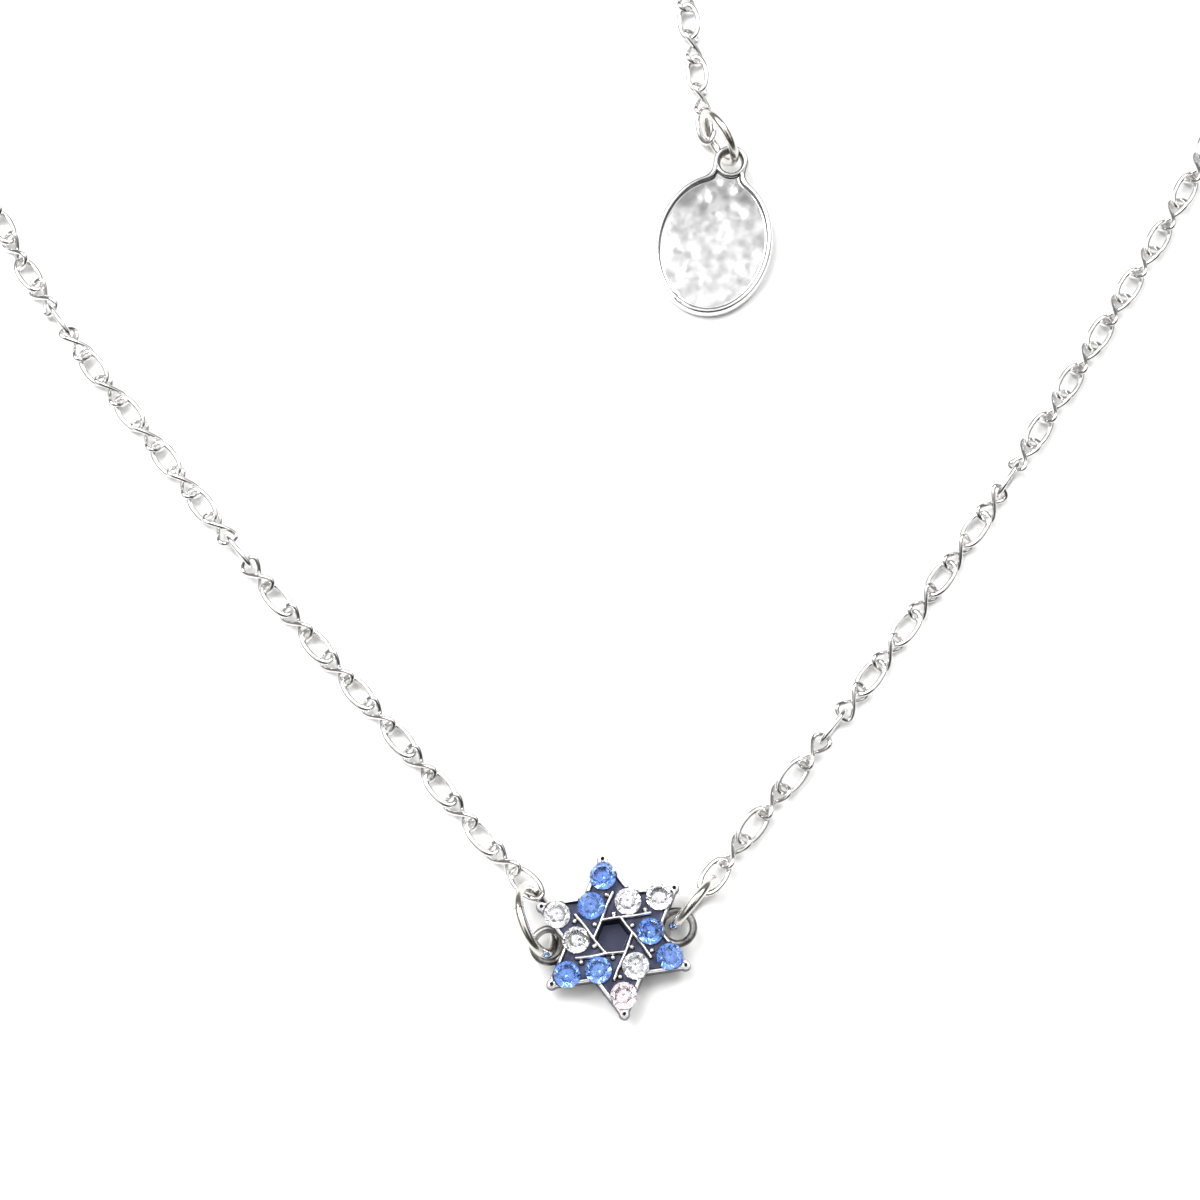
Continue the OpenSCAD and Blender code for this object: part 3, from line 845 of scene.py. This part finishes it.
def worn_and_shaded_silver():
    """The casting's back, foot and loops: grey silver with darker pits; its dark grey is partly
    painted shade.
    """
    shader = Shader("worn_and_shaded_silver", Metallic=1)
    pits = shader.noise(900, detail=5, roughness=0.65)
    shader.vary("Base Color", pits, (0.38, PITTED), (0.6, WORN_AND_SHADED_GREY))
    shader.vary("Roughness", shader.noise(1800), (0.3, 0.25), (0.7, 0.42))
    shader.bump(shader.noise(2200, detail=5, roughness=0.7), strength=0.35, distance=0.03)
    return shader.material


def stone_foil():
    shader = Shader("stone_foil", Metallic=1, Roughness=FOIL_ROUGHNESS)
    shader.vary("Base Color", shader.noise(700, detail=2), (0.3, FOIL_DULL), (0.7, FOIL_BRIGHT))
    return shader.material


def hammered_silver():
    """The tag's silver, darker toward its ear and lighter toward its far end."""
    shader = Shader("tag_silver", Metallic=1)
    patches = shader.math("SUBTRACT", shader.noise(380, detail=5, roughness=0.6), 0.5)
    bright = shader.math("SUBTRACT", 1.0, shader.along("Y", DARKENING_FROM, DARKENING_TO))
    shader.vary("Base Color", shader.math("ADD", bright, patches),
                (0.0, DARKEST_TONE), (0.5, HALF_BRIGHT), (1.0, BRIGHT))
    shader.vary("Roughness", shader.noise(900, detail=4), (0.3, 0.14), (0.7, 0.26))
    shader.bump(shader.noise(1400, detail=4, roughness=0.6), strength=0.25, distance=0.04)
    return shader.material


def crystal(name, colour):
    """Glass with faint scuffs."""
    shader = Shader(name, Base_Color=(*colour, 1), Transmission_Weight=1, IOR=GLASS_INDEX)
    shader.vary("Roughness", shader.noise(900, detail=2), (0.4, 0.0), (0.8, 0.04))
    return shader.material


def table_top():
    shader = Shader("table_top", Roughness=TABLE_ROUGHNESS)
    shader.vary("Base Color", shader.noise(30), (0.3, TABLE_DARK), (0.7, TABLE_LIGHT))
    shader.bump(shader.noise(1200), strength=0.05, distance=0.02)
    return shader.material


# --- Stage ----------------------------------------------------------------------------------------

CAMERA_PLACE = (-1.015, -17.027, 165.839)
CAMERA_TARGET = (-1.015, 27.099, 0)
SENSOR_WIDTH = 36
FOCAL_LENGTH = 63.86
CLIP_START, CLIP_END = 10, 20000
TABLE_REACH = 1500
KEY_PLACE = (-140, 130, 260)
KEY_SIZE = 230
KEY_POWER = 1.0
SKY_STRENGTH = 1.12
# Grey levels of the sky from the horizon and below, 0, to straight above, 1.
SKY_LEVELS = [(0.0, 0.16), (0.3, 0.07), (0.60, 0.10), (0.72, 1.25), (1.0, 1.3)]
# Directions in the room, each with its levels by the cosine of the angle to it.
DARK_SIDE, SIDE_LIGHT = (0.6, -0.8, 0.0), [(0.0, 0.14), (0.5, 0.0)]
OVERHEAD, OVERHEAD_SHADE = (0.0, 0.257, 0.966), [(0.975, 1.0), (0.992, 0.38)]
ONLOOKER, ONLOOKER_SHADE = (0.12, -0.60, 0.79), [(0.87, 1.0), (0.91, 0.08)]
WINDOW, WINDOW_SHARE = (0.42, 0.45, 0.79), [(0.982, 0.0), (0.988, 1.0)]
WHITE_LEVEL = 1.0
WINDOW_LEVEL = 12.0


def turn_from(place, target):
    """The rotation of a lamp or camera that looks from one place at another."""
    return (Vector(target) - Vector(place)).to_track_quat("-Z", "Y").to_euler()


def lamp(name, place, size, power):
    light = bpy.data.lights.new(name, "AREA")
    light.shape = "DISK"
    light.size = size * MM
    light.energy = power
    lamp_object = bpy.data.objects.new(name, light)
    lamp_object.location = Vector(place) * MM
    lamp_object.rotation_euler = turn_from(place, (0, 0, 0))
    bpy.context.scene.collection.objects.link(lamp_object)


def sky():
    """A studio of white cloth: bright above, a dim band round the room, a small dim patch overhead,
    the dark shape of the onlooker and a small bright window."""
    world = bpy.data.worlds.new("studio")
    world.use_nodes = True
    bpy.context.scene.world = world
    nodes = Nodes(world.node_tree)
    view = nodes.node("ShaderNodeTexCoord").outputs["Generated"]

    def levels(direction, stops):
        """Levels by the cosine of the angle between the view and a direction."""
        made = nodes.node("ShaderNodeVectorMath", operation="DOT_PRODUCT")
        nodes.feed(made.inputs[0], view)
        nodes.feed(made.inputs[1], direction)
        return nodes.ramp(made.outputs["Value"], stops)

    def blend(kind, factor, a, b):
        made = nodes.node("ShaderNodeMix", data_type="RGBA", blend_type=kind)
        for socket, value in ((MIX_FACTOR, factor), (MIX_A, a), (MIX_B, b)):
            nodes.feed(made.inputs[socket], value)
        return made.outputs[MIX_RESULT]

    def toward_level(share, room, level):
        return blend("MIX", share, room, (level, level, level, 1.0))

    room = levels((0, 0, 1), SKY_LEVELS)
    room = toward_level(levels(DARK_SIDE, SIDE_LIGHT), room, WHITE_LEVEL)
    room = blend("MULTIPLY", 1.0, room, levels(OVERHEAD, OVERHEAD_SHADE))
    room = blend("MULTIPLY", 1.0, room, levels(ONLOOKER, ONLOOKER_SHADE))
    room = toward_level(levels(WINDOW, WINDOW_SHARE), room, WINDOW_LEVEL)
    background = world.node_tree.nodes["Background"]
    nodes.feed(background.inputs["Color"], room)
    nodes.feed(background.inputs["Strength"], SKY_STRENGTH)


def stage():
    reach = TABLE_REACH
    corners = [(-reach, -reach, 0), (reach, -reach, 0), (reach, reach, 0), (-reach, reach, 0)]
    floor = mesh_object("table_top", corners, [[0, 1, 2, 3]], [table_top()])
    lamp("key", KEY_PLACE, KEY_SIZE, KEY_POWER)
    sky()
    camera = bpy.data.objects.new("camera", bpy.data.cameras.new("camera"))
    camera.location = Vector(CAMERA_PLACE) * MM
    camera.rotation_euler = turn_from(CAMERA_PLACE, CAMERA_TARGET)
    camera.data.sensor_width = SENSOR_WIDTH
    camera.data.lens = FOCAL_LENGTH
    camera.data.clip_start = CLIP_START * MM
    camera.data.clip_end = CLIP_END * MM
    bpy.context.scene.collection.objects.link(camera)
    bpy.context.scene.camera = camera
    bpy.context.scene.view_settings.view_transform = "Standard"


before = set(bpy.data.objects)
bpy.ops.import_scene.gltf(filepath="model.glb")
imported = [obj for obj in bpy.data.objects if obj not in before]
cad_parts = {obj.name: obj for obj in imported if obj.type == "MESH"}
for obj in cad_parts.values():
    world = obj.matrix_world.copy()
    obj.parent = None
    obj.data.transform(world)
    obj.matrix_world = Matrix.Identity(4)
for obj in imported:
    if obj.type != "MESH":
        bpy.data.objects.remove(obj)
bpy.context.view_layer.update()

chain_metal = polished("chain_silver", **CHAIN_LOOK)
ring_metal = polished("bright_silver", **RING_LOOK)
oxidised = oxidised_silver()
worn_and_shaded = worn_and_shaded_silver()
foil = stone_foil()
tag_metal = hammered_silver()
clear_glass = crystal("clear_crystal", CLEAR)
pink_glass = crystal("rosy_crystal", ROSY)
blue_glass = crystal("blue_crystal", BLUE)

for side, node in SIDES.items():
    chain(side, node, chain_metal)
for node, seam in RING_SEAMS.items():
    jump_ring(node, seam, ring_metal)
for number in range(1, STONES_OF_A_KIND + 1):
    clear = pink_glass if number == PINK_STONE else clear_glass
    blue_turn, blue_toward = (share * number for share in BLUE_TURNS)
    stone(f"blue_stone_{number}", blue_glass, foil, blue_turn, blue_toward)
    clear_turn, clear_toward = (share * number for share in CLEAR_TURNS)
    stone(f"clear_stone_{number}", clear, foil, clear_turn, clear_toward)
star(oxidised, worn_and_shaded)
tag(tag_metal)
carried_over("clasp", ring_metal)
stage()
